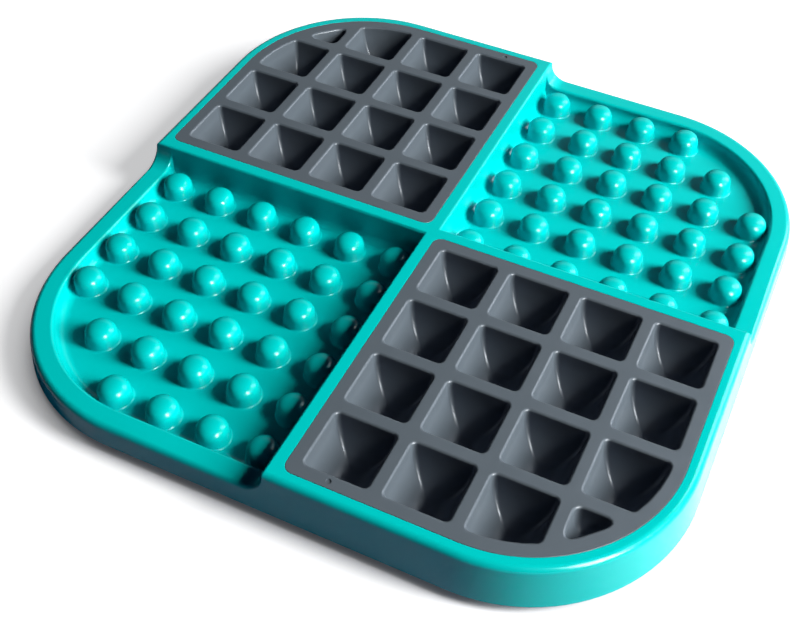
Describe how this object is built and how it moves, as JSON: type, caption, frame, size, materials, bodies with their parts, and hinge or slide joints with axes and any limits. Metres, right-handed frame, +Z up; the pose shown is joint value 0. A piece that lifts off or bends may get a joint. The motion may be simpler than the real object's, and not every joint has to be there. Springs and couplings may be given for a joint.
{
  "type": "slow feeder plate",
  "caption": "Square slow-feeding plate for a pet, with quarters of rounded nubs in the moulding, drop-in grids of square pockets between them, and pads underneath.",
  "frame": {"origin": "on the ground, under the middle of the plate", "axes": "+Z up; +X and +Y along the two cross walls, with the nub quarters in +X +Y and -X -Y"},
  "size_m": [0.25, 0.25, 0.0222],
  "materials": {
    "plate": "glossy moulded turquoise",
    "grid": "satin moulded dark grey",
    "pad": "matt black rubber"
  },
  "bodies": {
    "root": {"tray": "plate", "grid_insert_back": "grid", "grid_insert_front": "grid", "foot_back": "pad", "foot_left": "pad", "foot_front": "pad", "foot_right": "pad"}
  },
  "joints": []
}
